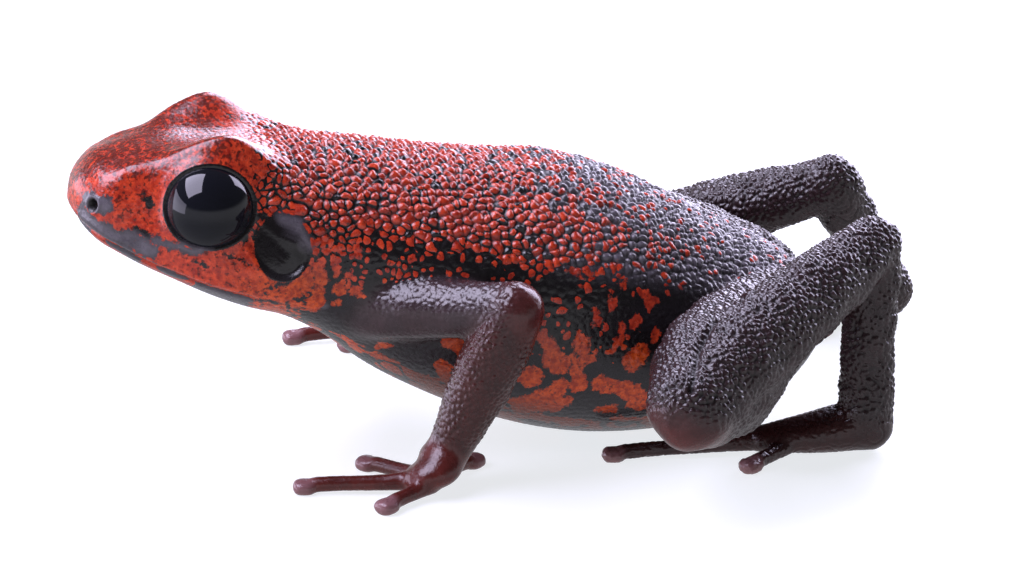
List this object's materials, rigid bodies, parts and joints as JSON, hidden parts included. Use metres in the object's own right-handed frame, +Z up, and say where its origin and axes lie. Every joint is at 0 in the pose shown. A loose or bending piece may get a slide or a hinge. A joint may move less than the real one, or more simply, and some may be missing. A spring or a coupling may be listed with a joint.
{
  "type": "poison frog figure",
  "caption": "Life-size still model of a small, long-snouted poison frog that sits with its head raised, its belly low and its hind legs folded.",
  "frame": {"origin": "on the floor, under the middle of the whole figure's bounding box", "axes": "snout points along -Y, the frog's left side is +X, +Z is up"},
  "size_m": [0.0202, 0.026, 0.0098],
  "materials": {
    "red_skin": "wet, glossy skin, red with a black network",
    "dark_skin": "wet, glossy skin, black to dark brown",
    "eye": "clear, wet and black"
  },
  "bodies": {
    "root": {"head": "red_skin", "lower_jaw": "red_skin", "torso": "red_skin", "eye_left": "eye", "eye_right": "eye", "upper_arm_left": "dark_skin", "upper_arm_right": "dark_skin", "forearm_left": "dark_skin", "forearm_right": "dark_skin", "hand_left": "dark_skin", "hand_right": "dark_skin", "thigh_left": "dark_skin", "thigh_right": "dark_skin", "shank_left": "dark_skin", "shank_right": "dark_skin", "tarsus_left": "dark_skin", "tarsus_right": "dark_skin", "foot_left": "dark_skin", "foot_right": "dark_skin"}
  },
  "joints": []
}
